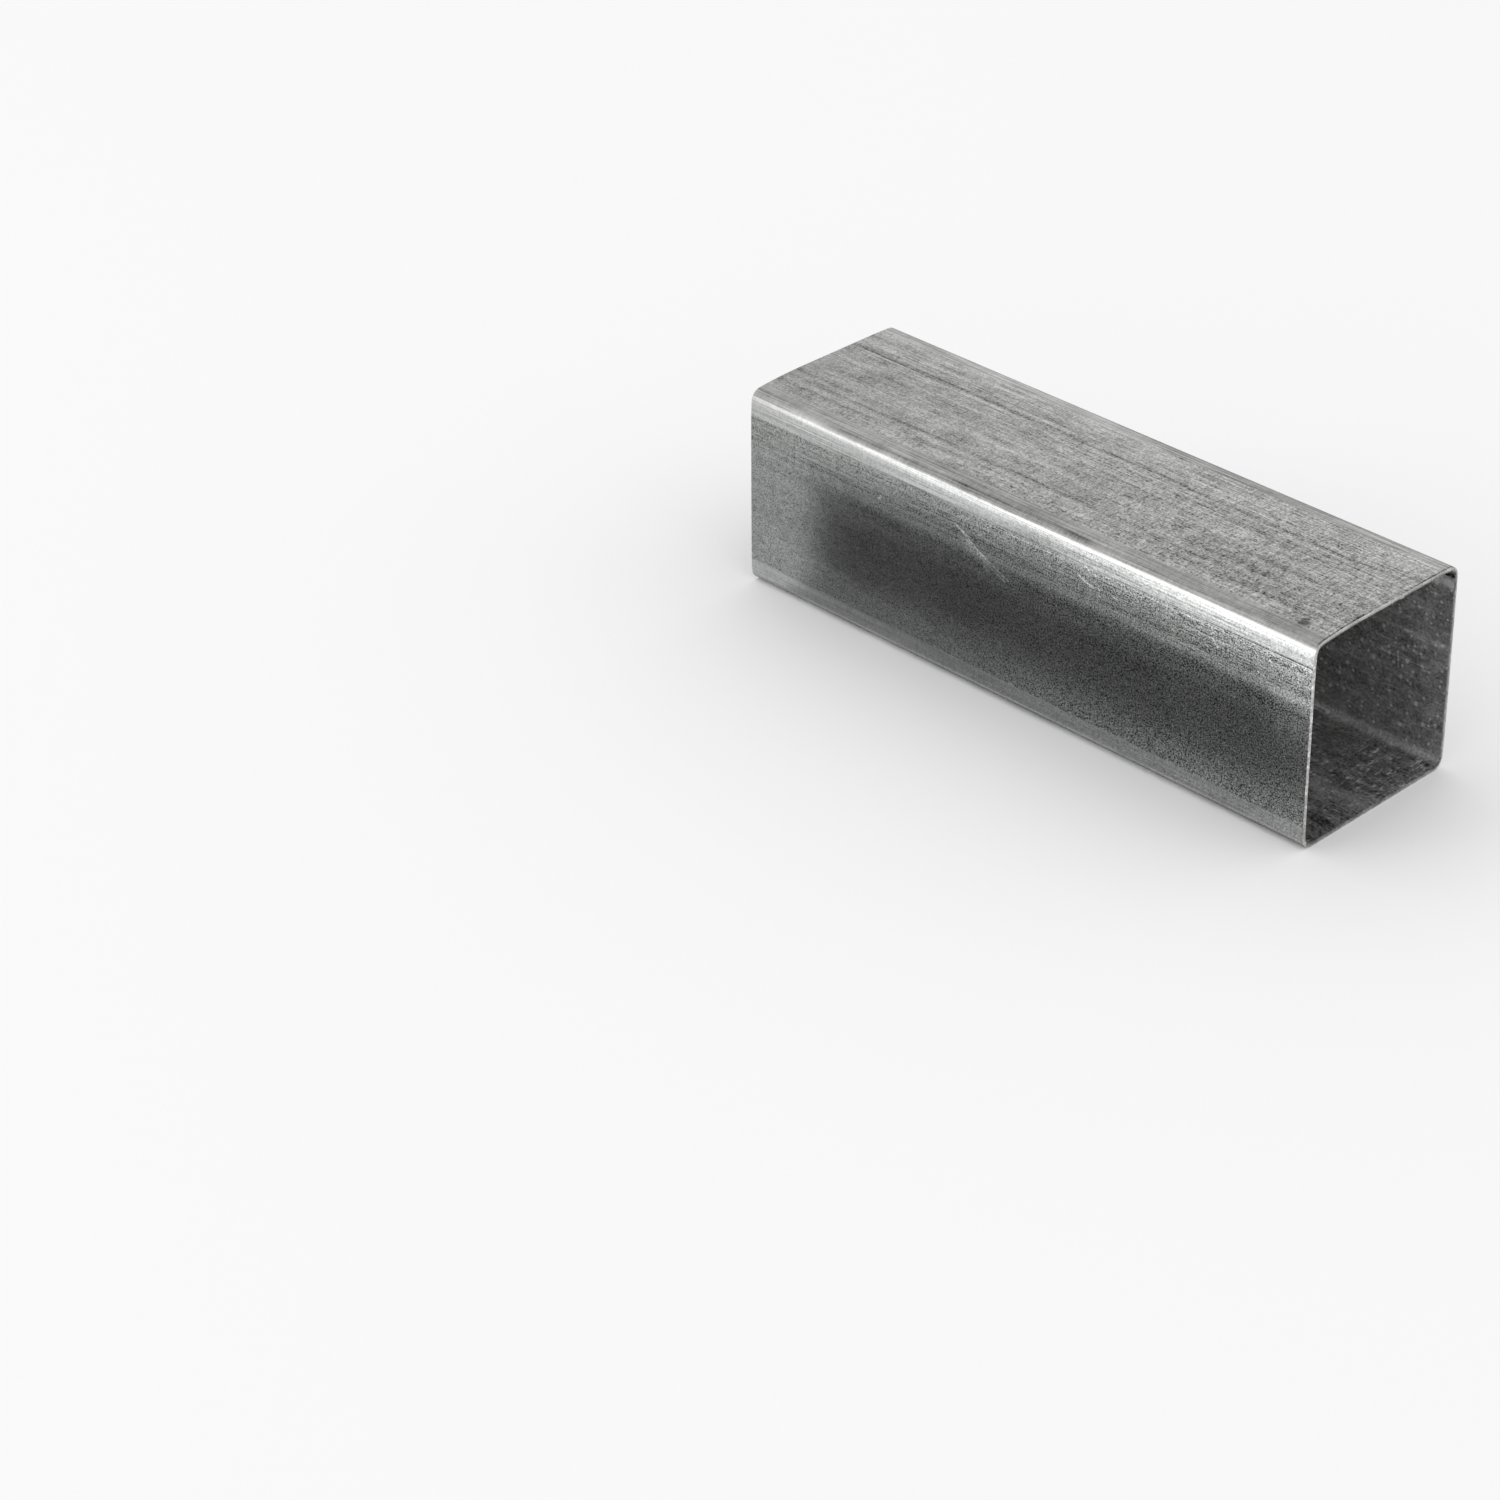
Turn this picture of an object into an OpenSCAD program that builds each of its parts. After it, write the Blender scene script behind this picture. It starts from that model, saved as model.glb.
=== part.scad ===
// Galvanized square steel tube: cold-rolled from zinc-coated strip, seam-welded,
// squared by its last rolls and sawn to length.
// The tube lies on one face. X runs along it, Y across it and Z up, and the origin
// is the middle of its underside.

/* [Section] */
// Outside width of the tube, across Y
outer_w = 80; // [50:1:150]
// Outside height of the tube, along Z
outer_h = 80; // [50:1:150]
// Wall thickness of the zinc-coated strip
wall = 1.5; // [1:0.1:4]
// Inside radius of the four rolled bends
bend_r = 3; // [2:0.5:8]

/* [Length] */
// Length of the tube between its two sawn ends
tube_length = 270; // [100:5:6000]

/* [Weld seam] */
// Width of the bead that the seam weld leaves inside the tube
bead_w = 2.4; // [1:0.1:4]
// Height that the bead stands above the inner face
bead_h = 0.5; // [0.2:0.1:1]
// Distance of the seam from the middle of the top face, towards +Y
seam_offset = 8; // [-9:1:9]

/* [Hidden] */

// The strip keeps its thickness round each bend, so both radii share one centre
outer_bend_r = bend_r + wall;
inner_w = outer_w - 2 * wall;
inner_h = outer_h - 2 * wall;
ceiling_z = outer_h - wall;

// Radius of the arc that spans the bead's width at the bead's height
bead_r = (pow(bead_w / 2, 2) + pow(bead_h, 2)) / (2 * bead_h);
// How far the bead is rooted in the wall that it belongs to
bead_root = wall / 2;

zinc_grey = [0.64, 0.65, 0.65];
arc_steps = 64;

// Rectangle with quarter-round corners, centred on its own middle
module rounded_rectangle(w, h, r) {
    square([w - 2 * r, h], center = true);
    square([w, h - 2 * r], center = true);
    for (side = [-1, 1], level = [-1, 1])
        translate([side * (w / 2 - r), level * (h / 2 - r)])
            circle(r = r, $fn = arc_steps);
}

// The rolled strip in section, standing on the line z = 0
module strip_section() {
    translate([0, outer_h / 2])
        difference() {
            rounded_rectangle(outer_w, outer_h, outer_bend_r);
            rounded_rectangle(inner_w, inner_h, bend_r);
        }
}

// The bead in section: a low arc that hangs from the ceiling of the bore
module bead_section() {
    translate([seam_offset, ceiling_z])
        intersection() {
            translate([0, bead_r - bead_h])
                circle(r = bead_r, $fn = arc_steps);
            translate([-bead_w / 2, -bead_h])
                square([bead_w, bead_h + bead_root]);
        }
}

// One continuous piece: the strip and its bead run from end to end
module square_tube() {
    color(zinc_grey)
        translate([-tube_length / 2, 0, 0])
            rotate([90, 0, 90])
                linear_extrude(height = tube_length) {
                    strip_section();
                    bead_section();
                }
}

square_tube();
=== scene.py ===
import math
from collections import namedtuple

import bpy
from mathutils import Matrix, Vector, noise


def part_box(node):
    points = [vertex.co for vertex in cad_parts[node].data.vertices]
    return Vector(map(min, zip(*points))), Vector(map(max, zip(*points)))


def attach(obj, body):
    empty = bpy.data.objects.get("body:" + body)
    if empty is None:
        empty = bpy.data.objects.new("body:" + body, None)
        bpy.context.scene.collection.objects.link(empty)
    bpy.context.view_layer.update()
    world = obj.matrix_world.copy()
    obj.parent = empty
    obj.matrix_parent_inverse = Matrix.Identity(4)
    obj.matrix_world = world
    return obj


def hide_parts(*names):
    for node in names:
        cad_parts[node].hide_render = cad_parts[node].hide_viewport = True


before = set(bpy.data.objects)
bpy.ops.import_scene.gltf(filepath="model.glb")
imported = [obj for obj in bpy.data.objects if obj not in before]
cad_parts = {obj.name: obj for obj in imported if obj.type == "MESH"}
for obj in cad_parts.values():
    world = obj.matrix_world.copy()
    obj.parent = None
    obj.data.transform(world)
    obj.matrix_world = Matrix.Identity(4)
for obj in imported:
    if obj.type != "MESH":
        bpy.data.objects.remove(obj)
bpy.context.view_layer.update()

MM = 0.001

# The tube as the frame gives it, with the section sizes that the frame doesn't state
tube_low, tube_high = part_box("square_tube")
LENGTH = tube_high.x - tube_low.x
WIDTH = tube_high.y - tube_low.y
HEIGHT = tube_high.z - tube_low.z
MID_Y = (tube_low.y + tube_high.y) / 2
WALL = 1.5 * MM
OUTER_BEND = 4.5 * MM
INNER_BEND = OUTER_BEND - WALL
SEAM_OFFSET = 8 * MM
BEAD_WIDTH = 2.4 * MM
BEAD_HEIGHT = 0.5 * MM

# The saw cut both ends a little out of square, so they lean inside the square tube's length
NEAR_LEAN = math.radians(1.5)
NEAR_SLEW = math.radians(1.4)
FAR_LEAN = math.radians(0.7)
FAR_SLEW = math.radians(1.7)


def add_object(name, data):
    made = bpy.data.objects.new(name, data)
    bpy.context.scene.collection.objects.link(made)
    return made


# Camera, worked out from the outline of the tube in the photograph
CAMERA_PLACE = Vector((0.8207, -0.9693, 0.7190))
CAMERA_AIM = Vector((-0.0420, -0.1276, 0.0))
CAMERA_ROLL = math.radians(0.34)
LENS = 95.82
SENSOR = 36.0
CLIP_START, CLIP_END = 0.05, 50.0


def make_camera():
    """The photograph's viewpoint: a long lens from the front right, looking down."""
    data = bpy.data.cameras.new("camera")
    data.sensor_width = SENSOR
    data.lens = LENS
    data.clip_start = CLIP_START
    data.clip_end = CLIP_END
    camera = add_object("camera", data)
    aim = (CAMERA_AIM - CAMERA_PLACE).to_track_quat("-Z", "Y").to_matrix().to_4x4()
    roll = Matrix.Rotation(CAMERA_ROLL, 4, "Z")
    camera.matrix_world = Matrix.Translation(CAMERA_PLACE) @ aim @ roll
    bpy.context.scene.camera = camera


# A smooth change of level, from low to high, while a value goes from start to end
Fade = namedtuple("Fade", "start end low high", defaults=(0.0, 1.0))
# A layer of noise: the length of its patches along the tube, their width across it, its swing to either
# side, and the noise's own settings. The left and right sides keep the share on_sides of its swing
Layer = namedtuple("Layer", "length width swing detail roughness distortion on_sides",
                   defaults=(0.0, 2.0, 0.5, 0.0, 1.0))


class Wires:
    """Adds nodes to one material and returns their outputs, so that a pattern reads as a formula."""

    def __init__(self, name):
        self.material = bpy.data.materials.new(name)
        self.material.use_nodes = True
        self.tree = self.material.node_tree
        self.tree.nodes.clear()
        self.place = self.node("ShaderNodeTexCoord").outputs["Object"]

    def node(self, kind, values=None, **settings):
        """A new node, with those values fed to its inputs and those settings made on itself."""
        made = self.tree.nodes.new(kind)
        for key, value in settings.items():
            setattr(made, key, value)
        for socket, value in (values or {}).items():
            self.feed(made.inputs[socket], value)
        return made

    def feed(self, socket, value):
        """Gives an input the output of another node, or a plain value."""
        if isinstance(value, bpy.types.NodeSocket):
            self.tree.links.new(value, socket)
        else:
            socket.default_value = value

    def math(self, operation, first, second=0.0):
        return self.node("ShaderNodeMath", {0: first, 1: second}, operation=operation).outputs[0]

    def total(self, *terms):
        result = terms[0]
        for term in terms[1:]:
            result = self.math("ADD", result, term)
        return result

    def product(self, *terms):
        result = terms[0]
        for term in terms[1:]:
            result = self.math("MULTIPLY", result, term)
        return result

    def rest(self, share):
        """What the share leaves of 1."""
        return self.math("SUBTRACT", 1.0, share)

    def axes(self):
        """The place along the tube, across it and up."""
        split = self.node("ShaderNodeSeparateXYZ", {0: self.place})
        return split.outputs[0], split.outputs[1], split.outputs[2]

    def stretched(self, along, across):
        """The place on the tube, in units of that length along it and that width across it."""
        scale = (1 / along, 1 / across, 1 / across)
        return self.node("ShaderNodeMapping", {"Vector": self.place, "Scale": scale}).outputs[0]

    def patches(self, layer):
        """The noise of that layer, from 0 to 1."""
        values = {"Vector": self.stretched(layer.length, layer.width), "Scale": 1.0, "Detail": layer.detail,
                  "Roughness": layer.roughness, "Distortion": layer.distortion}
        return self.node("ShaderNodeTexNoise", values).outputs["Fac"]

    def swing(self, value, amount):
        """Turns 0 to 1 into a swing of that amount to either side of nothing."""
        values = {"Value": value, "To Min": -amount, "To Max": amount}
        return self.node("ShaderNodeMapRange", values, clamp=False).outputs[0]

    def waver(self, layer):
        """The noise of that layer, swinging to either side of nothing."""
        return self.swing(self.patches(layer), layer.swing)

    def ramp(self, value, start, end, low=0.0, high=1.0):
        """Rises smoothly from low to high while the value goes from start to end."""
        values = {"Value": value, "From Min": start, "From Max": end, "To Min": low, "To Max": high}
        return self.node("ShaderNodeMapRange", values, interpolation_type="SMOOTHSTEP").outputs[0]

    def fade(self, value, *fades):
        """The level of that fade at this value, or of several fades added up."""
        return self.total(*[self.ramp(value, *fade) for fade in fades])

    def ease(self, share, low, high):
        """Goes smoothly from low to high while the share goes from 0 to 1."""
        return self.ramp(share, 0.0, 1.0, low, high)

    def line(self, value, centre, half_width):
        """1 where the value is at the centre, fading to 0 at that distance from it."""
        away = self.math("ABSOLUTE", self.math("SUBTRACT", value, centre))
        return self.ramp(away, half_width, 0.0)

    def stroke(self, across_page, up_page, start, end, half_width, bow=0.0):
        """1 on a slightly bowed scratch from start to end, fading to 0 at that distance from it."""
        run, rise = end[0] - start[0], end[1] - start[1]
        square = run * run + rise * rise
        right = self.math("SUBTRACT", across_page, start[0])
        up = self.math("SUBTRACT", up_page, start[1])
        share = self.total(self.product(right, run / square), self.product(up, rise / square))
        share = self.math("MINIMUM", self.math("MAXIMUM", share, 0.0), 1.0)
        lift = self.product(share, self.rest(share), 4 * bow)
        off_right = self.math("SUBTRACT", right, self.product(share, run))
        off_up = self.math("SUBTRACT", up, self.total(self.product(share, rise), lift))
        gap = self.node("ShaderNodeCombineXYZ", {0: off_right, 1: off_up})
        length = self.node("ShaderNodeVectorMath", {0: gap.outputs[0]}, operation="LENGTH")
        return self.ramp(length.outputs["Value"], half_width, 0.0)

    def grey(self, value, tint):
        """A colour of that brightness with a slight tint."""
        values = {channel: self.product(value, share) for channel, share in enumerate(tint)}
        return self.node("ShaderNodeCombineColor", values).outputs[0]

    def blend(self, share, first, second):
        """The first colour, turning into the second as the share goes from 0 to 1."""
        values = {"Factor": share, "A": first, "B": second}
        return self.node("ShaderNodeMix", values, data_type="RGBA").outputs["Result"]

    def attribute(self, name):
        return self.node("ShaderNodeAttribute", attribute_name=name).outputs["Fac"]

    def bump(self, height_in_mm):
        """The normal of a surface with that relief."""
        return self.node("ShaderNodeBump", {"Height": height_in_mm, "Distance": MM}).outputs[0]

    def finish(self, values):
        """The material, whose shader is fed those values."""
        shader = self.node("ShaderNodeBsdfPrincipled", values)
        output = self.node("ShaderNodeOutputMaterial")
        self.tree.links.new(shader.outputs[0], output.inputs["Surface"])
        return self.material


# Outer zinc: overall brightness, tint and the reflection at a grazing angle
ZINC_BRIGHTNESS = 0.365
ZINC_DARKEST = 0.03
ZINC_TINT = (1.0, 1.003, 0.984)
GRAZING_TINT = (0.5, 0.5, 0.5, 1.0)

# Layers of the texture that the rolls left
GRAIN = Layer(1.0 * MM, 0.7 * MM, 1.25, detail=3.0, roughness=0.7, on_sides=0.75)
MOTTLE = Layer(12 * MM, 6 * MM, 0.35, on_sides=0.3)
CLOUDS = Layer(24 * MM, 13 * MM, 0.28, detail=1.0, on_sides=0.3)
WIDE_CLOUDS = Layer(40 * MM, 14 * MM, 0.24)
SPECKLE = Layer(0.6 * MM, 0.5 * MM, 0.9, detail=1.0)
PATCHES = Layer(3.4 * MM, 2.0 * MM, 0.38)
CROSS_STROKES = Layer(1.0 * MM, 6 * MM, 0.52, on_sides=0.25)
FINE_STREAKS = Layer(26 * MM, 0.85 * MM, 0.62, detail=3.0, roughness=0.65, on_sides=0.25)
BROAD_STREAKS = Layer(110 * MM, 4.5 * MM, 0.34, on_sides=0.4)
SPECKS = Layer(1.0 * MM, 0.8 * MM, detail=1.0)
# The specks crowd where the wide clouds are pale, and darken the zinc above a threshold
SPECKS_CROWD = 0.14
SPECKS_DARKEN = Fade(0.60, 0.70, 0.0, -0.36)
# How the layers change along the tube and across it
FLAT_ALONG = Fade(-120 * MM, 120 * MM, 1.0, 1.45)
MOTTLE_ALONG = Fade(-30 * MM, 90 * MM, 1.0, 0.4)
CLOUDS_ACROSS = Fade(4 * MM, -8 * MM, 0.2, 1.0)
SPECKLE_ALONG = Fade(-100 * MM, 80 * MM, 0.9, 1.9)
STROKES_ALONG = Fade(-60 * MM, 60 * MM, 0.50, 0.85)
FINE_ACROSS = Fade(-4 * MM, 8 * MM, 1.0, 2.1)
# The share that polish leaves of the grain, on the left side and elsewhere
POLISHED_LEFT, POLISHED_ELSEWHERE = 0.42, 0.2
# The whole texture is weaker on the right side
RIGHT_SHARE = 0.7


def rolled_texture(w, x, y, flat, left, right):
    """Grain, cross strokes, streaks and specks of rolled zinc, as a share of its brightness."""
    sides = w.total(left, right)

    def rolled(layer):
        return w.product(w.waver(layer), w.ease(sides, 1.0, layer.on_sides))

    strokes = w.product(rolled(CROSS_STROKES), w.fade(x, STROKES_ALONG))
    speckle = w.product(w.waver(SPECKLE), left, w.fade(x, SPECKLE_ALONG))
    wide_clouds = w.patches(WIDE_CLOUDS)
    specks = w.fade(w.total(w.patches(SPECKS), w.swing(wide_clouds, SPECKS_CROWD)), SPECKS_DARKEN)
    kept = w.ease(flat, w.ease(left, POLISHED_ELSEWHERE, POLISHED_LEFT), 1.0)
    on_flat = w.total(rolled(GRAIN), w.waver(PATCHES), strokes, specks, speckle)
    on_flat = w.product(on_flat, w.fade(x, FLAT_ALONG), kept)
    mottle = w.product(rolled(MOTTLE), w.fade(x, MOTTLE_ALONG))
    clouds = w.product(rolled(CLOUDS), w.fade(y, CLOUDS_ACROSS))
    fine = w.product(rolled(FINE_STREAKS), w.fade(y, FINE_ACROSS))
    wide = w.swing(wide_clouds, WIDE_CLOUDS.swing)
    texture = w.total(on_flat, fine, rolled(BROAD_STREAKS), mottle, clouds, wide)
    return w.product(texture, w.ease(right, 1.0, RIGHT_SHARE))


# Lengthwise bands on the top: place across and half width in mm, and how much darker they are
Band = namedtuple("Band", "across half_width darkening")
TOP_BANDS = (
    Band(36.4, 1.0, 0.12),
    Band(25.5, 1.6, 0.05),
    Band(15.6, 2.2, 0.42),
    Band(10.0, 3.0, 0.08),
    Band(4.5, 2.0, 0.03),
    Band(-5.5, 2.5, 0.14),
    Band(-12.0, 4.5, 0.06),
    Band(-15.0, 2.0, 0.12),
    Band(-19.8, 2.2, 0.24),
    Band(-25.0, 2.0, 0.18),
    Band(-38.0, 3.0, 0.18),
)
# They wander a little, and are broken up by noise
BAND_WANDER = Layer(90 * MM, 30 * MM, 1.6 * MM)
BAND_NOISE = Layer(60 * MM, 3 * MM, detail=3.0)
BAND_BREAKS = Fade(0.3, 0.6, 0.5, 1.25)
# The top is painted paler towards the right, a painted sheen from the way it reflects the light, and paler
# still at the far end of its right edge. Its left edge is darker at the far end and paler at the near one
TOP_PAINTED_SHEEN = Fade(-15 * MM, 32 * MM, 0.0, 0.17)
FAR_EDGE_ACROSS = Fade(24 * MM, 36 * MM, 0.0, 0.24)
FAR_EDGE_ALONG = Fade(30 * MM, -60 * MM)
LEFT_EDGE_ACROSS = Fade(-33 * MM, -38 * MM)
LEFT_EDGE_ALONG = Fade(-30 * MM, 120 * MM, -0.14, 0.30)
TOP_GAIN = 0.14


def top_bands(w, x, y, top, flat):
    """The soft dark bands that run along the top, its paler and darker edges and its painted sheen, as a
    share of its brightness.
    """
    wander = w.total(y, w.waver(BAND_WANDER))
    bands = [w.product(w.line(wander, band.across * MM, band.half_width * MM), -band.darkening)
             for band in TOP_BANDS]
    bands = w.product(w.total(*bands), w.fade(w.patches(BAND_NOISE), BAND_BREAKS))
    far_edge = w.product(w.fade(y, FAR_EDGE_ACROSS), w.fade(x, FAR_EDGE_ALONG))
    left_edge = w.product(w.fade(y, LEFT_EDGE_ACROSS), w.fade(x, LEFT_EDGE_ALONG))
    # Painted sheen: the top painted paler towards the right
    painted_sheen = w.fade(y, TOP_PAINTED_SHEEN)
    return w.product(w.total(bands, far_edge, left_edge, painted_sheen, w.product(flat, TOP_GAIN)), top)


# A line runs along a side at that height, and fades in from start to end. A mark on a side has both its
# ends as (along, up), and a bow. All their lengths are in mm
Line = namedtuple("Line", "height half_width strength start end")
Mark = namedtuple("Mark", "start end half_width bow strength")


def drawn_line(w, x, z, line):
    """That line, at its strength."""
    faded = w.ramp(x, line.start * MM, line.end * MM, 0.0, line.strength)
    return w.product(w.line(z, line.height * MM, line.half_width * MM), faded)


def drawn_mark(w, x, z, mark):
    """That mark, at its strength."""
    start = [value * MM for value in mark.start]
    end = [value * MM for value in mark.end]
    return w.product(w.stroke(x, z, start, end, mark.half_width * MM, mark.bow * MM), mark.strength)


# On the left side the last rolls left a streaky band with a sharp lower edge, most of it near the open end
BAND_HEIGHT = 56.8 * MM
BAND_HALF_WIDTH = 3.2 * MM
BAND_FOOT = 55.0 * MM
BAND_FOOT_FADE = Fade(BAND_FOOT - 1.0 * MM, BAND_FOOT - 0.3 * MM)
BAND_GAIN = 0.50
BAND_LINES = Layer(24 * MM, 0.45 * MM, 2.6, detail=3.0, roughness=0.7)
BAND_ALONG = (Fade(-70 * MM, 70 * MM, 0.15, 0.30), Fade(100 * MM, 128 * MM, 0.0, 0.3))
# Above it the side is streaked lengthwise
SIDE_STREAKS = Layer(60 * MM, 0.32 * MM, 1.1, detail=1.0)
STREAKS_UP = Fade(BAND_FOOT, BAND_FOOT + 3 * MM)
STREAKS_ALONG = Fade(-90 * MM, 50 * MM, 0.6, 1.0)
# Single lines there, brighter or darker
LEFT_LINES = (
    Line(72.8, 0.70, -0.45, 90, 128),
    Line(73.3, 0.35, -0.22, 10, 60),
    Line(72.2, 0.45, 0.18, 0, 50),
    Line(70.9, 1.00, -0.34, 90, 128),
    Line(70.1, 0.55, -0.62, -115, -80),
    Line(68.9, 0.80, 0.32, -40, 30),
    Line(67.5, 0.50, -0.16, -80, 20),
    Line(66.4, 0.60, 0.08, -20, 30),
    Line(60.0, 0.80, -0.10, -80, -40),
    Line(58.6, 0.30, -0.20, 0, 60),
    Line(57.8, 0.26, 0.34, -30, 40),
    Line(61.2, 2.80, -0.14, 60, 115),
    Line(56.0, 1.30, 0.22, -40, 30),
    Line(55.4, 1.60, 0.34, 100, 130),
    Line(52.5, 2.00, 0.35, 105, 130),
    Line(51.5, 3.50, -0.26, -100, -60),
    Line(46.8, 0.25, 0.40, 20, 40),
)
LINE_NOISE = Layer(30 * MM, 8 * MM)
LINE_BREAKS = Fade(0.35, 0.6, 0.5, 1.2)
# A wide soft painted shade round the large scratch, which darkens the side there
SHADE_PLACE, SHADE_HALF_LENGTH = -24 * MM, 50 * MM
SHADE_UP, SHADE_HALF_WIDTH = 60 * MM, 5 * MM
SHADE_STRENGTH = -0.34
# Scratches and dark flecks there
LEFT_MARKS = (
    Mark((-27.5, 62.8), (-20.0, 60.2), 0.60, -0.2, 0.90),
    Mark((-24.5, 61.4), (-13.5, 55.2), 0.80, -0.4, 1.50),
    Mark((-15.5, 56.4), (-2.0, 50.4), 0.75, -0.4, 1.00),
    Mark((-22.5, 58.9), (-4.0, 49.6), 0.60, -0.6, 1.10),
    Mark((-25.0, 58.6), (-12.0, 52.4), 2.80, -0.3, 0.45),
    Mark((-66.0, 59.2), (-65.0, 60.4), 0.75, 0.0, 1.50),
    Mark((-17.0, 63.2), (-15.8, 63.6), 0.70, 0.0, 1.40),
    Mark((-13.8, 51.8), (-12.6, 50.8), 1.20, 0.0, 0.60),
    Mark((29.6, 65.6), (37.1, 63.1), 0.80, -0.3, 1.45),
    Mark((32.8, 70.0), (37.8, 68.0), 0.80, -0.4, 1.00),
    Mark((39.2, 63.6), (39.9, 63.2), 0.60, 0.0, 1.20),
    Mark((39.6, 61.4), (40.2, 61.0), 0.50, 0.0, 1.10),
    Mark((45.8, 63.2), (47.4, 62.9), 0.55, 0.0, 1.20),
    Mark((73.0, 61.6), (74.6, 59.6), 0.45, 0.0, 0.80),
    Mark((90.7, 64.4), (92.9, 62.4), 0.70, 0.0, 1.35),
    Mark((114.2, 70.9), (116.8, 69.0), 0.55, -0.2, 0.80),
    Mark((114.6, 66.6), (115.8, 65.8), 0.45, 0.0, 0.90),
    Mark((17.0, 54.8), (19.0, 52.0), 0.50, 0.0, 0.60),
    Mark((110.5, 60.2), (113.5, 59.4), 0.60, 0.0, 1.00),
    Mark((8.0, 60.2), (13.5, 59.8), 1.0, 0.0, -0.34),
    Mark((104.0, 60.0), (107.5, 59.4), 0.9, 0.0, -0.34),
    Mark((49.2, 55.0), (49.6, 54.6), 0.7, 0.0, -0.40),
    Mark((85.6, 56.0), (86.2, 55.6), 0.7, 0.0, -0.40),
)
MARK_NOISE = Layer(1.0 * MM, 1.0 * MM)
MARK_BREAKS = Fade(0.38, 0.62, 0.35, 1.3)


def left_marks(w, x, z, left):
    """The streaky band, the fine lines, the scratches and the painted shade of the left side."""
    band = w.product(w.line(z, BAND_HEIGHT, BAND_HALF_WIDTH), w.fade(z, BAND_FOOT_FADE))
    band = w.product(band, w.fade(x, *BAND_ALONG), w.total(w.waver(BAND_LINES), BAND_GAIN))
    streaks = w.product(w.waver(SIDE_STREAKS), w.fade(z, STREAKS_UP), w.fade(x, STREAKS_ALONG))
    lines = w.total(*[drawn_line(w, x, z, line) for line in LEFT_LINES])
    lines = w.product(lines, w.fade(w.patches(LINE_NOISE), LINE_BREAKS))
    # Painted shade: the side darkened round the large scratch
    shade = w.product(w.line(x, SHADE_PLACE, SHADE_HALF_LENGTH), w.line(z, SHADE_UP, SHADE_HALF_WIDTH),
                      SHADE_STRENGTH)
    marks = w.total(*[drawn_mark(w, x, z, mark) for mark in LEFT_MARKS])
    marks = w.product(marks, w.fade(w.patches(MARK_NOISE), MARK_BREAKS))
    return w.product(w.total(band, streaks, lines, shade, marks), left)


# Smudge on the top near the open end, with a faint trail along the tube
SMUDGE = Vector((120.5, -30.4, 0.0)) * MM
SMUDGE_SIZE, SMUDGE_CORE = 3.8 * MM, 0.4 * MM
SMUDGE_DEPTH = 0.85
SMUDGE_COLOUR = (0.095, 0.088, 0.078, 1.0)
SMUDGE_RAGGED = Layer(2.4 * MM, 1.6 * MM, 3.2 * MM, detail=3.0, roughness=0.7)
TRAIL_START, TRAIL_END = (113 * MM, -30.6 * MM), (129 * MM, -29.0 * MM)
TRAIL_HALF_WIDTH = 1.3 * MM
TRAIL_DEPTH = 0.22


def smudge(w, x, y, top):
    """Where the smudge is, from 0 to 1, with its trail."""
    gap = w.node("ShaderNodeVectorMath", {0: w.place, 1: SMUDGE}, operation="SUBTRACT").outputs[0]
    flat_gap = w.node("ShaderNodeVectorMath", {0: gap, 1: (1.0, 1.0, 0.0)}, operation="MULTIPLY").outputs[0]
    away = w.node("ShaderNodeVectorMath", {0: flat_gap}, operation="LENGTH").outputs["Value"]
    spot = w.ramp(w.total(away, w.waver(SMUDGE_RAGGED)), SMUDGE_SIZE, SMUDGE_CORE, 0.0, SMUDGE_DEPTH)
    trail = w.product(w.stroke(x, y, TRAIL_START, TRAIL_END, TRAIL_HALF_WIDTH), TRAIL_DEPTH)
    return w.product(w.math("MAXIMUM", spot, trail), top)


# A thin dark line runs along the near cut on the top, strongest towards both bends
CUT_LINE_BACK = 0.4 * MM
CUT_LINE_HALF_WIDTH = 0.9 * MM
CUT_LINE_STRENGTH = -0.75
CUT_LINE_ACROSS = Fade(4 * MM, 18 * MM, 0.2, 1.0)


def cut_line(w, x, y, top):
    """That dark line, which follows the slanted cut."""
    slanted = w.total(x, w.product(y, math.tan(NEAR_SLEW)))
    edge = LENGTH / 2 - math.tan(NEAR_LEAN) * HEIGHT - math.tan(NEAR_SLEW) * WIDTH / 2
    line = w.line(slanted, edge - CUT_LINE_BACK, CUT_LINE_HALF_WIDTH)
    return w.product(line, w.fade(w.math("ABSOLUTE", y), CUT_LINE_ACROSS), top, CUT_LINE_STRENGTH)


# The rolls polish a strip along each bend. From the bend's middle it reaches to where the flat begins, and
# further on the sides. On the sides the strip is also painted paler, partly polish and partly a painted
# sheen of the light they reflect there
FLAT_FROM_BEND = Fade(6.6 * MM, 7.2 * MM)
POLISH_SIDE_EXTRA = 1.5 * MM
POLISH_FRAY = Layer(20 * MM, 0.8 * MM, 0.8 * MM, detail=3.0)
POLISH_AND_SHEEN_GAIN = 0.42
POLISH_STREAKS = Layer(70 * MM, 0.6 * MM, 0.75, detail=3.0, roughness=0.6)
NICKS = Layer(1.0 * MM, 3.0 * MM, 0.25)
# A painted highlight: the left bend is painted paler along a line near the open end, which widens its
# highlight there
GLINT_HEIGHT, GLINT_HALF_WIDTH = 76.8 * MM, 0.9 * MM
GLINT_ACROSS = Fade(-37.5 * MM, -38.2 * MM)
GLINT_ALONG = Fade(20 * MM, 120 * MM, 0.0, 0.75)
# Where the top, either side, the left side and the right side begin
TOP = Fade(HEIGHT - 2.6 * MM, HEIGHT - 1.2 * MM)
EITHER_SIDE = Fade(WIDTH / 2 - 1.8 * MM, WIDTH / 2 - 0.6 * MM)
LEFT_SIDE = Fade(1.2 * MM - WIDTH / 2, 0.4 * MM - WIDTH / 2)
RIGHT_SIDE = Fade(WIDTH / 2 - 1.2 * MM, WIDTH / 2 - 0.4 * MM)
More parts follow.
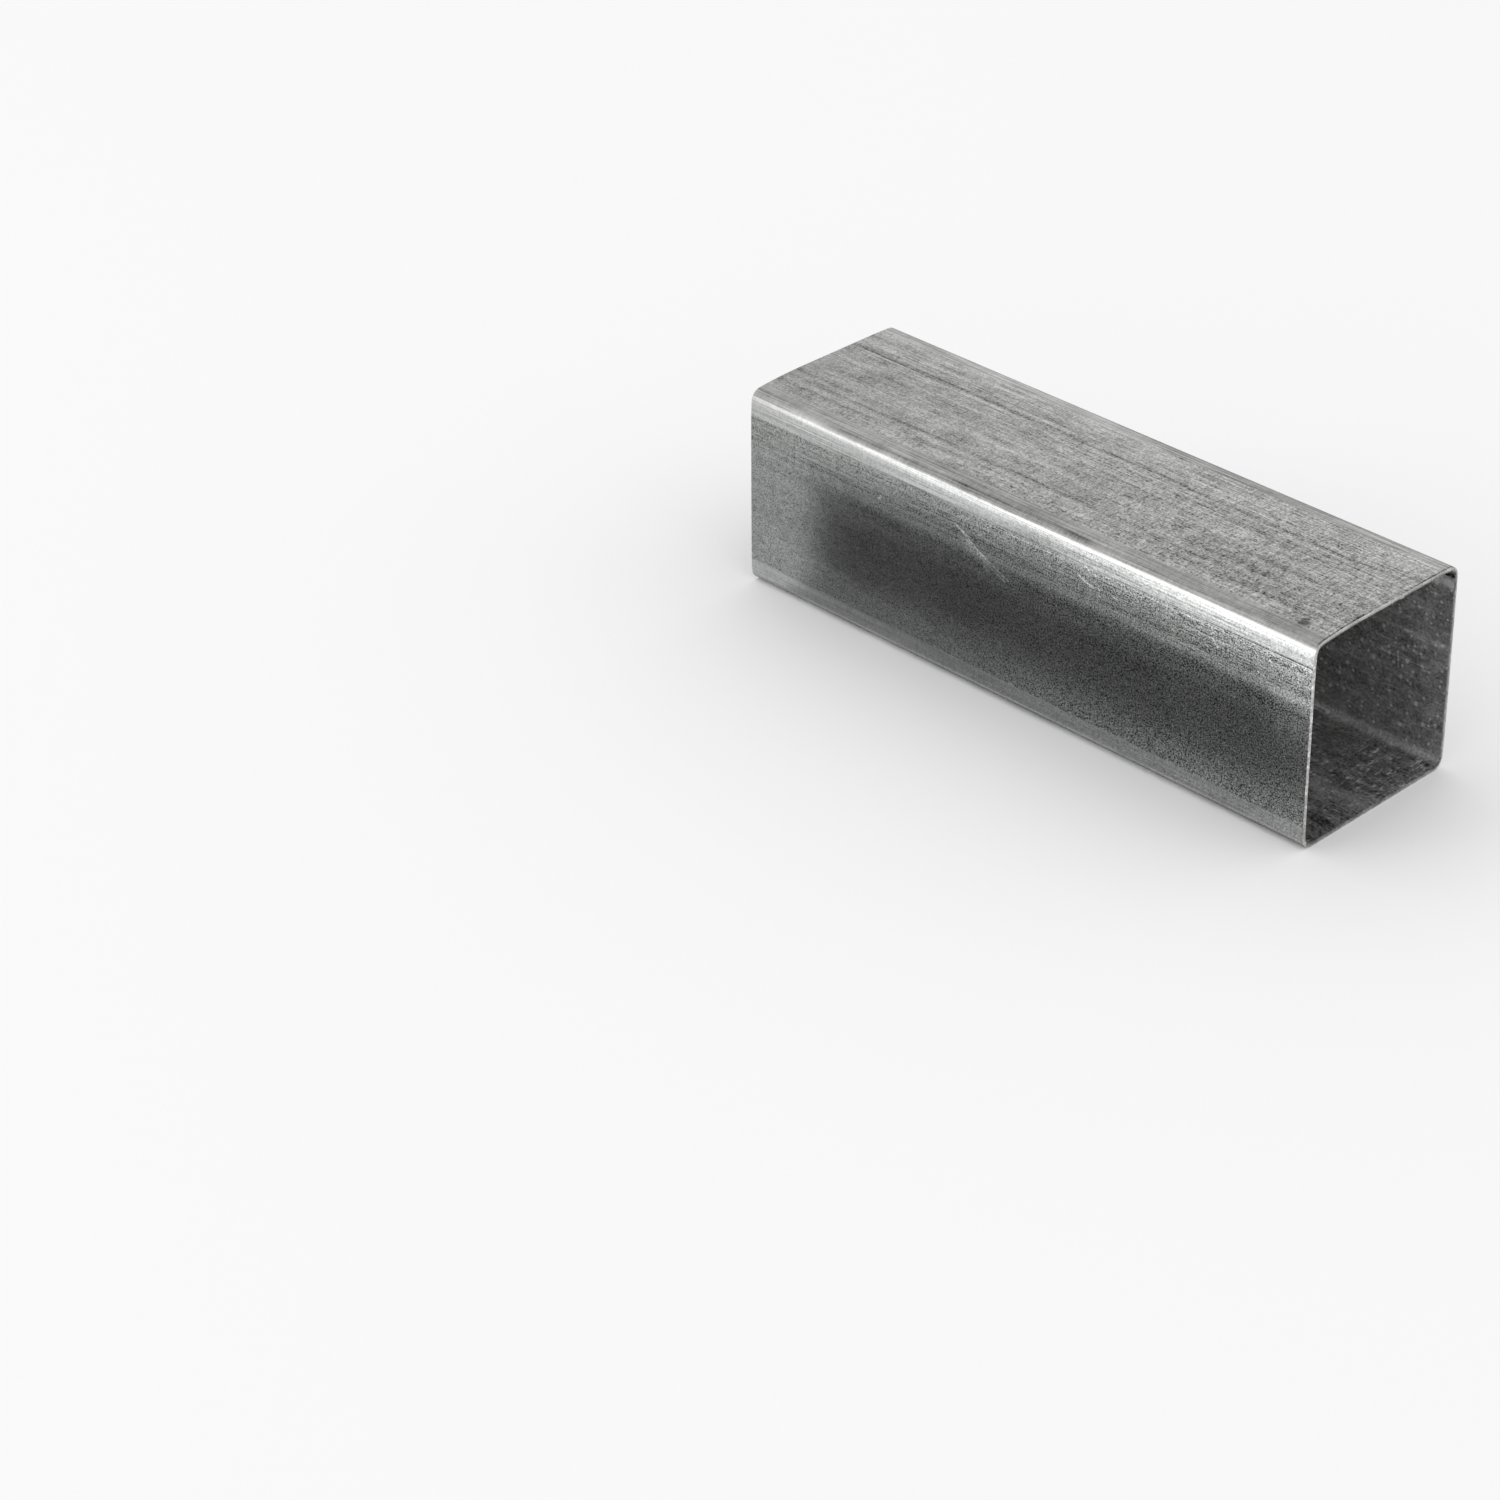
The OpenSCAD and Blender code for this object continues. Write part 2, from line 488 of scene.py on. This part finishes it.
# Roughness of the flats and of the polished strips, its unevenness, and what the smoother lower part of the
# left side and the smudge add to it
FLAT_ROUGHNESS = 0.42
POLISHED_ROUGHNESS = Fade(-125 * MM, 10 * MM, 0.42, 0.30)
DULL = Layer(2.2 * MM, 1.2 * MM, 0.06, detail=3.0)
LOW_SIDE_UP = Fade(BAND_FOOT + 0.5 * MM, BAND_FOOT - 0.8 * MM)
LOW_SIDE_ROUGHNESS = -0.05
SMUDGE_ROUGHNESS = 0.2
# Relief, in mm
RELIEF = Layer(1.6 * MM, 1.0 * MM, detail=3.0)
FLAT_RELIEF = 0.012
POLISH_RELIEF = 0.010


def outer_zinc():
    """Zinc as the rolls left it: lengthwise streaks, a fine speckle and polished strips at the bends, with
    a painted sheen, a painted highlight and painted shade laid over it.
    """
    w = Wires("outer_zinc")
    x, y, z = w.axes()
    top = w.fade(z, TOP)
    side = w.fade(w.math("ABSOLUTE", y), EITHER_SIDE)
    left = w.fade(y, LEFT_SIDE)
    right = w.fade(y, RIGHT_SIDE)
    from_bend = w.math("SUBTRACT", w.attribute("from_bend"), w.product(side, POLISH_SIDE_EXTRA))
    flat = w.fade(w.total(from_bend, w.waver(POLISH_FRAY)), FLAT_FROM_BEND)
    polish = w.patches(POLISH_STREAKS)
    # Painted highlight on the left bend near the open end
    painted_glint = w.product(w.line(z, GLINT_HEIGHT, GLINT_HALF_WIDTH), w.fade(y, GLINT_ACROSS),
                      w.fade(x, GLINT_ALONG))
    # On the sides the strip is painted paler: partly polish, partly painted sheen
    gain = w.total(w.product(side, POLISH_AND_SHEEN_GAIN), w.swing(polish, POLISH_STREAKS.swing), w.waver(NICKS),
                   painted_glint)
    polish_and_sheen = w.product(gain, w.ease(flat, 1.0, 0.0))
    shade = w.total(1.0, rolled_texture(w, x, y, flat, left, right), top_bands(w, x, y, top, flat),
                    left_marks(w, x, z, left), cut_line(w, x, y, top), polish_and_sheen)
    brightness = w.math("MAXIMUM", w.product(shade, ZINC_BRIGHTNESS), ZINC_DARKEST)
    spot = smudge(w, x, y, top)
    low_side = w.product(w.fade(z, LOW_SIDE_UP), left)
    roughness = w.total(w.ease(flat, w.fade(x, POLISHED_ROUGHNESS), FLAT_ROUGHNESS), w.waver(DULL),
                        w.product(low_side, LOW_SIDE_ROUGHNESS), w.product(spot, SMUDGE_ROUGHNESS))
    relief = w.total(w.product(w.patches(RELIEF), FLAT_RELIEF, flat), w.product(polish, POLISH_RELIEF))
    colour = w.blend(spot, w.grey(brightness, ZINC_TINT), SMUDGE_COLOUR)
    return w.finish({"Base Color": colour, "Metallic": 1.0, "Roughness": roughness,
                     "Specular Tint": GRAZING_TINT, "Normal": w.bump(relief)})


# Inner zinc, which has pale drops of zinc scattered on it
INNER_BRIGHTNESS = 0.47
INNER_DARKEST = 0.04
INNER_TINT = (1.0, 1.002, 0.998)
DROP_SPACING = 2.9 * MM
DROP_RADIUS = 1.15 * MM
DROP_GAIN = 2.2
# The radius of a drop is multiplied by this least share plus a random one, and its core is a share of that
DROP_LEAST = 0.45
DROP_CORE = 0.2
# The drops crowd towards the open end and along one line, and are fainter on the floor and the left wall
DROPS_SHOW = Fade(0.42, 0.92)
DROPS_ALONG = Fade(60 * MM, 125 * MM, 0.0, 0.30)
DROP_LINE_HEIGHT, DROP_LINE_HALF_WIDTH = 47 * MM, 2.5 * MM
DROP_LINE_CROWD = 0.25
DROPS_UP = Fade(1.8 * MM, 3.0 * MM, 0.3, 1.0)
DROPS_ACROSS = Fade(-38 * MM, -34 * MM, 0.4, 1.0)


def zinc_drops(w, x, y, z):
    """Scattered pale spots of zinc, each from 0 to 1: many near the open end, few further in."""
    place = w.stretched(DROP_SPACING, DROP_SPACING)
    cells = w.node("ShaderNodeTexVoronoi", {"Vector": place, "Scale": 1.0, "Randomness": 1.0})
    chance, size = w.node("ShaderNodeSeparateColor", {0: cells.outputs["Color"]}).outputs[:2]
    edge = w.product(w.total(DROP_LEAST, size), DROP_RADIUS / DROP_SPACING)
    spot = w.ramp(cells.outputs["Distance"], edge, w.product(edge, DROP_CORE))
    line = w.product(w.line(z, DROP_LINE_HEIGHT, DROP_LINE_HALF_WIDTH), DROP_LINE_CROWD)
    shown = w.fade(w.total(chance, w.fade(x, DROPS_ALONG), line), DROPS_SHOW)
    return w.product(spot, shown, w.fade(z, DROPS_UP), w.fade(y, DROPS_ACROSS))


# The floor of the bore is painted darker than its walls, more so towards the open end and the left: painted
# shade
FLOOR_UP = Fade(3.0 * MM, 1.8 * MM)
FLOOR_DIM = -0.22
FLOOR_DIM_ALONG = Fade(98 * MM, 130 * MM, 0.0, -0.22)
FLOOR_DIM_ACROSS = Fade(20 * MM, -25 * MM, 0.0, -0.10)
# A paler patch on it ends at a slanted line, and beyond that line it is scuffed
PATCH_SLANT = -0.29
PATCH_EDGE = Fade(-33.8 * MM, -34.8 * MM)
PATCH_ACROSS = Fade(-52 * MM, -36 * MM, 0.0, 0.34)
PATCH_ALONG = Fade(70 * MM, 100 * MM)
SWIRL = Layer(1.0 * MM, 5.5 * MM, roughness=0.6, distortion=1.0)
SWIRL_SHOWS = Fade(0.56, 0.70, 0.0, 1.1)
SWIRL_ALONG = Fade(95 * MM, 108 * MM)
SWIRL_EDGE = Fade(-35.5 * MM, -31 * MM)


def floor_shade_and_marks(w, x, y, z):
    """The floor of the bore: painted shade that darkens it, most towards the open end, with a paler patch
    and scuffs across it.
    """
    # Painted shade on the floor of the bore
    painted_floor_shade = w.total(FLOOR_DIM, w.fade(x, FLOOR_DIM_ALONG), w.fade(y, FLOOR_DIM_ACROSS))
    slant = w.total(y, w.product(x, PATCH_SLANT))
    patch = w.product(w.fade(slant, PATCH_EDGE), w.fade(slant, PATCH_ACROSS), w.fade(x, PATCH_ALONG))
    swirl = w.product(w.fade(w.patches(SWIRL), SWIRL_SHOWS), w.fade(x, SWIRL_ALONG),
                      w.fade(slant, SWIRL_EDGE))
    return w.product(w.fade(z, FLOOR_UP), w.total(painted_floor_shade, patch, swirl))


# A long fine scratch on the inside of the right wall, a short one across it, and a haze along the wall
LONG_SCRATCH = Mark((101, 35.5), (123, 35.9), 0.4, 0.0, 0.5)
SHORT_SCRATCH = Mark((110.6, 37.6), (111.3, 31.6), 0.7, 0.0, 0.9)
HAZE_HEIGHT, HAZE_HALF_WIDTH = 47 * MM, 1.6 * MM
HAZE_STRENGTH = 0.35
HAZE_ALONG = Fade(92 * MM, 112 * MM)
RIGHT_WALL = Fade(34 * MM, 36 * MM)


def wall_marks(w, x, y, z):
    """The scratches and the haze of the right wall."""
    scratches = w.total(*[drawn_mark(w, x, z, mark) for mark in (LONG_SCRATCH, SHORT_SCRATCH)])
    haze = w.product(w.line(z, HAZE_HEIGHT, HAZE_HALF_WIDTH), w.fade(x, HAZE_ALONG), HAZE_STRENGTH)
    return w.product(w.total(scratches, haze), w.fade(y, RIGHT_WALL))


# The upper right bend by the open end is painted dark, a painted shade, with a painted highlight line in
# it, over a paler band on the wall that is a painted reflection
DARK_BEND_UP = Fade(73.8 * MM, 74.6 * MM, 0.0, -0.9)
GLEAM_HEIGHT, GLEAM_HALF_WIDTH, GLEAM_STRENGTH = 76.6 * MM, 0.8 * MM, 0.8
PALE_HEIGHT, PALE_HALF_WIDTH, PALE_STRENGTH = 71.6 * MM, 2.6 * MM, 1.3
CORNER_ALONG = Fade(119 * MM, 128 * MM)


def painted_corner_light(w, x, y, z):
    """The painted shade of the dark bend, the painted highlight of the pale line and the painted reflection
    of the paler band of that corner.
    """
    painted_gleam = w.product(w.line(z, GLEAM_HEIGHT, GLEAM_HALF_WIDTH), GLEAM_STRENGTH)
    painted_band = w.product(w.line(z, PALE_HEIGHT, PALE_HALF_WIDTH), PALE_STRENGTH)
    marks = w.total(w.fade(z, DARK_BEND_UP), painted_gleam, painted_band)
    return w.product(marks, w.fade(x, CORNER_ALONG), w.fade(y, RIGHT_WALL))


# Layers of the texture inside, and a painted highlight that makes the bends paler
INNER_GRAIN = Layer(1.1 * MM, 0.9 * MM, 1.2, detail=3.0, roughness=0.7)
BLOTCH = Layer(6 * MM, 4 * MM, 0.6, detail=4.0, roughness=0.6)
INNER_STREAKS = Layer(60 * MM, 3 * MM, 0.35, detail=3.0)
SCUFFS = Layer(9 * MM, 0.8 * MM, detail=3.0, roughness=0.65, distortion=0.6)
SCUFFS_SHOW = Fade(0.55, 0.75, 0.0, 0.7)
INNER_BEND_HIGHLIGHT = Fade(4.5 * MM, 2.0 * MM, 0.0, 0.35)
INNER_ROUGHNESS = 0.58
BLOTCH_ROUGHNESS = 0.12
GRAIN_RELIEF = 0.02
BLOTCH_RELIEF = 0.05


def inner_zinc():
    """The zinc inside, which no roll touched: duller, blotched, with scattered pale spots, and with painted
    shade and painted highlights on its floor and bends.
    """
    w = Wires("inner_zinc")
    x, y, z = w.axes()
    grain = w.patches(INNER_GRAIN)
    blotch = w.patches(BLOTCH)
    drops = w.product(zinc_drops(w, x, y, z), DROP_GAIN)
    scuffs = w.fade(w.patches(SCUFFS), SCUFFS_SHOW)
    # Painted highlight along the inner bends
    bend_highlight = w.fade(w.attribute("from_bend"), INNER_BEND_HIGHLIGHT)
    texture = w.total(w.swing(grain, INNER_GRAIN.swing), w.swing(blotch, BLOTCH.swing),
                      w.waver(INNER_STREAKS), scuffs, bend_highlight)
    shade = w.total(1.0, texture, drops, floor_shade_and_marks(w, x, y, z), wall_marks(w, x, y, z),
                    painted_corner_light(w, x, y, z))
    brightness = w.math("MAXIMUM", w.product(shade, INNER_BRIGHTNESS), INNER_DARKEST)
    roughness = w.total(INNER_ROUGHNESS, w.swing(blotch, BLOTCH_ROUGHNESS))
    relief = w.total(w.product(grain, GRAIN_RELIEF), w.product(blotch, BLOTCH_RELIEF))
    return w.finish({"Base Color": w.grey(brightness, INNER_TINT), "Metallic": 1.0,
                     "Roughness": roughness, "Normal": w.bump(relief)})


# Sawn edge: its tint, its roughness, and its saw marks and tarnish
EDGE_BRIGHTNESS = 0.40
EDGE_DARKEST = 0.05
EDGE_TINT = (1.0, 0.985, 0.97)
EDGE_ROUGHNESS = 0.42
EDGE_RELIEF = 0.03
SAW_MARKS = Layer(3 * MM, 0.7 * MM, 1.3, detail=3.0, roughness=0.7)
TARNISH = Layer(9 * MM, 9 * MM, 0.7, detail=3.0)
# The lip darkens inwards, except on the left, where it has a bright burr. The upper lip is a little paler
LEFT_LIP = Fade(3 * MM - WIDTH / 2, 1 * MM - WIDTH / 2)
UPPER_LIP = Fade(HEIGHT - 3 * MM, HEIGHT - 1.6 * MM)
UPPER_GAIN = 0.2
DARK_INWARDS = Fade(0.35, 0.8, 0.0, -0.5)
BURR = Layer(1.4 * MM, 1.4 * MM, detail=3.0)
BURR_SHOWS = Fade(0.52, 0.68, 0.3, 1.4)


def sawn_edge():
    """Bare steel where the saw went through: fine cross marks, darker inwards, and a burr on the left."""
    w = Wires("sawn_edge")
    x, y, z = w.axes()
    left = w.fade(y, LEFT_LIP)
    upper = w.product(w.fade(z, UPPER_LIP), w.rest(left), UPPER_GAIN)
    inward = w.product(w.fade(w.attribute("inward"), DARK_INWARDS), w.rest(left))
    burr = w.product(w.fade(w.patches(BURR), BURR_SHOWS), left)
    marks = w.patches(SAW_MARKS)
    shade = w.total(1.0, w.swing(marks, SAW_MARKS.swing), w.waver(TARNISH), inward, burr, upper)
    brightness = w.math("MAXIMUM", w.product(shade, EDGE_BRIGHTNESS), EDGE_DARKEST)
    return w.finish({"Base Color": w.grey(brightness, EDGE_TINT), "Metallic": 1.0,
                     "Roughness": EDGE_ROUGHNESS, "Normal": w.bump(w.product(marks, EDGE_RELIEF))})


# Mesh of the tube: steps along each flat, round each bend and over the weld bead, and rings along the tube
FLAT_STEPS = 110
BEND_STEPS = 14
BEAD_STEPS = 8
RINGS = 70
# The evenly spaced points keep this far off the bead's middle, in half widths of the bead
BEAD_CLEARANCE = 1.1
# The sides of the section are counted from the underside. A point in a bend is on none of them
SIDES = 4
TOP_SIDE = 2
NO_SIDE = -1
# Places of the three materials in the mesh
OUTER_SLOT, INNER_SLOT, EDGE_SLOT = range(3)
SHARP_ANGLE = math.radians(30)
# The faces bow out by the crown, and leave the bends at the tilt
CROWN = 0.30 * MM
EDGE_TILT = math.radians(4)
# The top rolls off gently beside its left bend
SAG, SAG_SPREAD = 0.9 * MM, 14 * MM
# The wall's slight unevenness, with the length and width of its dents
DENT = 0.05 * MM
DENT_LENGTH, DENT_WIDTH = 90 * MM, 40 * MM
# The weld bead's height ripples by this share
BEAD_RIPPLE = 0.2
RIPPLE_LENGTH = 8 * MM
# The cut edges are broken, and the cut face between them is ragged
EDGE_BREAK = 0.12 * MM
EDGE_BREAK_DEPTH = 1.5 * EDGE_BREAK
RAGGED = 0.12 * MM
RAGGED_LENGTH = 0.9 * MM


def smooth(share):
    """Goes smoothly from 0 to 1 as the share does."""
    share = min(1.0, max(0.0, share))
    return share * share * (3 - 2 * share)


def flat_shares(half):
    """Places along a flat of that half length, from 0 to 1, with close ones at the weld bead."""
    seam = 0.5 - SEAM_OFFSET / (2 * half)
    reach = BEAD_WIDTH / 2 / (2 * half)
    even = [step / FLAT_STEPS for step in range(FLAT_STEPS)]
    kept = [share for share in even if abs(share - seam) > reach * BEAD_CLEARANCE]
    close = [seam - reach + 2 * reach * step / BEAD_STEPS for step in range(BEAD_STEPS + 1)]
    return sorted(kept + close)


def section():
    """One turn round the section, in the YZ plane and from its middle. The faces are flat in the middle and
    fall back towards the bends. Each point has its outer and inner place, its outward direction, its
    distance from the middle of the nearest bend, the side it is on and its place along that side."""
    half_width, half_height = WIDTH / 2, HEIGHT / 2
    bend_turn = math.pi / 2 - 2 * EDGE_TILT
    bend_length = bend_turn * OUTER_BEND
    bend_depth = CROWN + OUTER_BEND * math.cos(EDGE_TILT)
    points = []
    for side in range(SIDES):
        turn = Matrix.Rotation(side * math.pi / 2, 2)
        reach = (half_height, half_width)[side % 2]
        centre = Vector(((half_width, half_height)[side % 2] - bend_depth, bend_depth - reach))
        half = centre.x + OUTER_BEND * math.sin(EDGE_TILT)
        power = half * math.tan(EDGE_TILT) / CROWN
        for way in flat_shares(half):
            offset = (2 * way - 1) * half
            share = abs(offset) / half
            tilt = math.copysign(math.atan(math.tan(EDGE_TILT) * share ** (power - 1)), offset)
            out = Vector((math.sin(tilt), -math.cos(tilt)))
            outer = Vector((offset, CROWN * share ** power - reach))
            gap = bend_length / 2 + half - abs(offset)
            points.append((turn @ outer, turn @ (outer - out * WALL), turn @ out, gap, side, offset))
        for step in range(BEND_STEPS):
            angle = EDGE_TILT + step / BEND_STEPS * bend_turn
            out = Vector((math.sin(angle), -math.cos(angle)))
            gap = abs(step / BEND_STEPS - 0.5) * bend_length
            points.append((turn @ (centre + out * OUTER_BEND), turn @ (centre + out * INNER_BEND),
                           turn @ out, gap, NO_SIDE, 0.0))
    return points


def bead_height(side, offset, x):
    """How far the weld bead stands into the bore at this place."""
    if side != TOP_SIDE:
        return 0.0
    away = abs(offset + SEAM_OFFSET) / (BEAD_WIDTH / 2)
    ripple = 1 - BEAD_RIPPLE + BEAD_RIPPLE * noise.noise(Vector((x / RIPPLE_LENGTH, 0, 0)))
    return BEAD_HEIGHT * ripple * math.sqrt(max(0.0, 1 - away * away))


def dent(point, x):
    """Small inward unevenness of the wall, so that the faces aren't machine flat."""
    place = Vector((x / DENT_LENGTH, point.x / DENT_WIDTH, point.y / DENT_WIDTH))
    return DENT * (1 + noise.noise(place))


def sag(point):
    """How far the top hangs down here, beside its left bend."""
    from_left = (point.x + WIDTH / 2) / SAG_SPREAD
    return SAG * math.exp(-from_left ** 2) * smooth(point.y / (HEIGHT / 2))


def along(share, point):
    """The place along the tube of this share of its length, between the two leaning cuts."""
    up = point.y + HEIGHT / 2
    far = -LENGTH / 2 + math.tan(FAR_SLEW) * (WIDTH / 2 - point.x) + math.tan(FAR_LEAN) * (HEIGHT - up)
    near = LENGTH / 2 - math.tan(NEAR_LEAN) * up - math.tan(NEAR_SLEW) * (WIDTH / 2 + point.x)
    return far + (near - far) * share


def tube_mesh(materials):
    """Rings of points along the outer and the inner zinc, joined by quads, and closed by two broken edges
    and a cut face at each end."""
    ring = section()
    count = len(ring)
    vertices, gaps, inwards, faces, slots = [], [], [], [], []

    def add_ring(share, use_inner, shrink=0.0, cut_back=0.0, ragged=0.0):
        """A ring of points, at that share of the way from the far cut to the near one. It lies inside the
        wall by shrink, and back from the cut by cut_back and up to ragged more."""
        first = len(vertices)
        end = 1 if share > 0.5 else -1
        for outer, inner, out, gap, side, offset in ring:
            x = along(share, outer)
            depth = dent(outer, x)
            if use_inner:
                step = shrink - depth - bead_height(side, offset, x)
            else:
                step = -shrink - depth
            place = (inner if use_inner else outer) + out * step
            rough = noise.noise(Vector((place.x, place.y, x)) / RAGGED_LENGTH)
            slip = cut_back + ragged * (0.5 + 0.5 * rough)
            vertices.append((x - end * slip, MID_Y + place.x, HEIGHT / 2 + place.y - sag(outer)))
            gaps.append(gap)
            inwards.append(1.0 if use_inner else 0.0)
        return first

    def join(first, second, slot, flip):
        """Quads between the two rings that begin at those points."""
        for place in range(count):
            following = (place + 1) % count
            quad = (first + place, first + following, second + following, second + place)
            faces.append(tuple(reversed(quad)) if flip else quad)
            slots.append(slot)

    shares = [step / (RINGS - 1) for step in range(RINGS)]
    backs = [EDGE_BREAK_DEPTH if step in (0, RINGS - 1) else 0.0 for step in range(RINGS)]
    outer_rings = [add_ring(share, False, cut_back=back) for share, back in zip(shares, backs)]
    inner_rings = [add_ring(share, True, cut_back=back) for share, back in zip(shares, backs)]
    for first, second in zip(outer_rings, outer_rings[1:]):
        join(first, second, OUTER_SLOT, False)
    for first, second in zip(inner_rings, inner_rings[1:]):
        join(first, second, INNER_SLOT, True)
    for index, flip in ((0, False), (-1, True)):
        lip_outer = add_ring(shares[index], False, shrink=EDGE_BREAK, ragged=RAGGED)
        lip_inner = add_ring(shares[index], True, shrink=EDGE_BREAK, ragged=RAGGED)
        join(lip_outer, outer_rings[index], EDGE_SLOT, flip)
        join(lip_inner, lip_outer, EDGE_SLOT, flip)
        join(inner_rings[index], lip_inner, EDGE_SLOT, flip)
    mesh = bpy.data.meshes.new("square_tube_shell")
    mesh.from_pydata(vertices, [], faces)
    for material in materials:
        mesh.materials.append(material)
    mesh.polygons.foreach_set("material_index", slots)
    mesh.polygons.foreach_set("use_smooth", [True] * len(faces))
    for name, values in (("from_bend", gaps), ("inward", inwards)):
        attribute = mesh.attributes.new(name, "FLOAT", "POINT")
        attribute.data.foreach_set("value", values)
    mesh.update()
    mesh.set_sharp_from_angle(angle=SHARP_ANGLE)
    return mesh


def make_tube():
    """The tube, which rides the root body in place of the solid."""
    tube = add_object("square_tube_shell", tube_mesh([outer_zinc(), inner_zinc(), sawn_edge()]))
    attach(tube, "root")
    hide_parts("square_tube")


# Floor and surroundings
FLOOR_SIZE = 8.0
FLOOR_COLOUR = (0.96, 0.96, 0.96, 1.0)
FLOOR_ROUGHNESS = 0.9
WORLD_COLOUR = (1.0, 1.0, 1.0, 1.0)
WORLD_STRENGTH = 0.96


def make_floor():
    mesh = bpy.data.meshes.new("floor")
    half = FLOOR_SIZE / 2
    corners = [(-half, -half, 0), (half, -half, 0), (half, half, 0), (-half, half, 0)]
    mesh.from_pydata(corners, [], [(0, 1, 2, 3)])
    w = Wires("floor")
    mesh.materials.append(w.finish({"Base Color": FLOOR_COLOUR, "Roughness": FLOOR_ROUGHNESS,
                                    "Specular IOR Level": 0.0}))
    add_object("floor", mesh)


def make_world():
    world = bpy.data.worlds.new("studio")
    world.use_nodes = True
    background = world.node_tree.nodes["Background"]
    background.inputs["Color"].default_value = WORLD_COLOUR
    background.inputs["Strength"].default_value = WORLD_STRENGTH
    bpy.context.scene.world = world


# The key light is a soft box far to the front left. From the tube it is seen between two heights
KEY_DISTANCE = 2.6
KEY_AZIMUTH = math.radians(33)
KEY_LOW, KEY_HIGH = math.radians(1), math.radians(28)
KEY_WIDTH = 1.0
KEY_RADIANCE = 1.9


def make_key():
    """The key light, turned to the tube."""
    low, high = KEY_DISTANCE * math.tan(KEY_LOW), KEY_DISTANCE * math.tan(KEY_HIGH)
    data = bpy.data.lights.new("key", "AREA")
    data.shape = "RECTANGLE"
    data.size, data.size_y = KEY_WIDTH, high - low
    data.energy = KEY_RADIANCE * math.pi * data.size * data.size_y
    light = add_object("key", data)
    light.location = (-KEY_DISTANCE * math.sin(KEY_AZIMUTH), -KEY_DISTANCE * math.cos(KEY_AZIMUTH),
                      (low + high) / 2)
    light.rotation_mode = "QUATERNION"
    light.rotation_quaternion = Vector((-light.location.x, -light.location.y, 0)).to_track_quat("-Z", "Y")


# The card stands beside the left side like a low wall. Its foot leads towards the tube, and its lid leads
# away from it. It glows though it is no lamp: a painted reflection of a neighbouring tube, with that tube's
# shaded side in the wall and its lit top in the lid
CARD_DISTANCE = 17.4 * MM
CARD_WALL_Y = tube_low.y - CARD_DISTANCE
CARD_HEIGHT = 60 * MM
CARD_FAR, CARD_NEAR = -165 * MM, 160 * MM
CARD_FOOT = 16.3 * MM
CARD_LID = 140 * MM
CARD_LIFT = 0.3 * MM
CARD_TINT = (0.97, 1.0, 1.0)
BLACK = (0.0, 0.0, 0.0, 1.0)
# The glow of the wall turns into that of the lid within this width
CARD_SEAM = 0.5 * MM
WALL_ACROSS = Fade(CARD_WALL_Y - CARD_SEAM, CARD_WALL_Y)
LID_ACROSS = Fade(CARD_WALL_Y, CARD_WALL_Y - CARD_SEAM)
FOOT_GLOW = Fade(CARD_WALL_Y, CARD_WALL_Y + 2 * MM, 0.0, 0.03)
# The wall's glow, a painted reflection of the neighbouring tube's shaded side, is dark, brighter in steps
# towards its top and a little towards its bottom
WALL_GLOW = 0.05
WALL_GLOW_UP = (Fade(37 * MM, 45 * MM, 0.0, 0.24), Fade(46 * MM, 58.5 * MM, 0.0, 0.50),
                Fade(14 * MM, 3 * MM, 0.0, 0.20))
# It is brighter towards the near end, most of all in its upper near corner, and pale beyond the far end
WALL_GLOW_ALONG = (Fade(0.0, 110 * MM, 1.0, 1.35), Fade(98 * MM, 120 * MM, 0.0, 0.25))
CORNER_GLOW_UP = Fade(24 * MM, 42 * MM, 0.03, 0.24)
CORNER_GLOW_ALONG = Fade(100 * MM, 122 * MM)
BEYOND = Fade(-108 * MM, -124 * MM)
BEYOND_GLOW = 0.68
# The lid's glow, a painted reflection of the neighbouring tube's top lit by the key, is bright, more so
# towards the near end and on its outer part
LID_GLOW_ALONG = Fade(-160 * MM, 110 * MM, 0.60, 1.10)
LID_OUTER_ACROSS = Fade(CARD_WALL_Y - 4 * MM, CARD_WALL_Y - 15 * MM, 0.0, 0.9)
LID_OUTER_ALONG = Fade(-170 * MM, -60 * MM, 0.6, 1.0)


def card_painted_reflection():
    """How brightly each part of the card glows, as a painted reflection of a neighbouring tube."""
    w = Wires("card")
    x, y, z = w.axes()
    beyond = w.fade(x, BEYOND)
    up = w.total(WALL_GLOW, w.fade(z, *WALL_GLOW_UP))
    wall = w.product(up, w.fade(x, *WALL_GLOW_ALONG), w.rest(beyond))
    corner = w.product(w.fade(z, CORNER_GLOW_UP), w.fade(x, CORNER_GLOW_ALONG))
    wall = w.product(w.total(wall, w.product(beyond, BEYOND_GLOW), corner), w.fade(y, WALL_ACROSS))
    outer = w.product(w.fade(y, LID_OUTER_ACROSS), w.fade(x, LID_OUTER_ALONG))
    lid = w.product(w.total(w.fade(x, LID_GLOW_ALONG), outer), w.fade(y, LID_ACROSS))
    glow = w.total(wall, w.fade(y, FOOT_GLOW), lid)
    return w.finish({"Base Color": BLACK, "Specular IOR Level": 0.0, "Emission Strength": 1.0,
                     "Emission Color": w.grey(glow, CARD_TINT)})


def make_card():
    """The card, which only reflections see. It glows though it is no lamp, and paints a neighbouring tube's
    reflection into the left side.
    """
    outline = ((CARD_WALL_Y + CARD_FOOT, CARD_LIFT), (CARD_WALL_Y, CARD_LIFT), (CARD_WALL_Y, CARD_HEIGHT),
               (CARD_WALL_Y - CARD_LID, CARD_HEIGHT))
    points = [(x, y, z) for y, z in outline for x in (CARD_FAR, CARD_NEAR)]
    mesh = bpy.data.meshes.new("card")
    mesh.from_pydata(points, [], [(first, first + 2, first + 3, first + 1) for first in (0, 2, 4)])
    mesh.materials.append(card_painted_reflection())
    card = add_object("card", mesh)
    card.visible_camera = False
    card.visible_diffuse = False
    card.visible_shadow = False
    card.visible_transmission = False


make_camera()
make_tube()
make_floor()
make_world()
make_key()
make_card()
bpy.context.scene.view_settings.view_transform = "Standard"
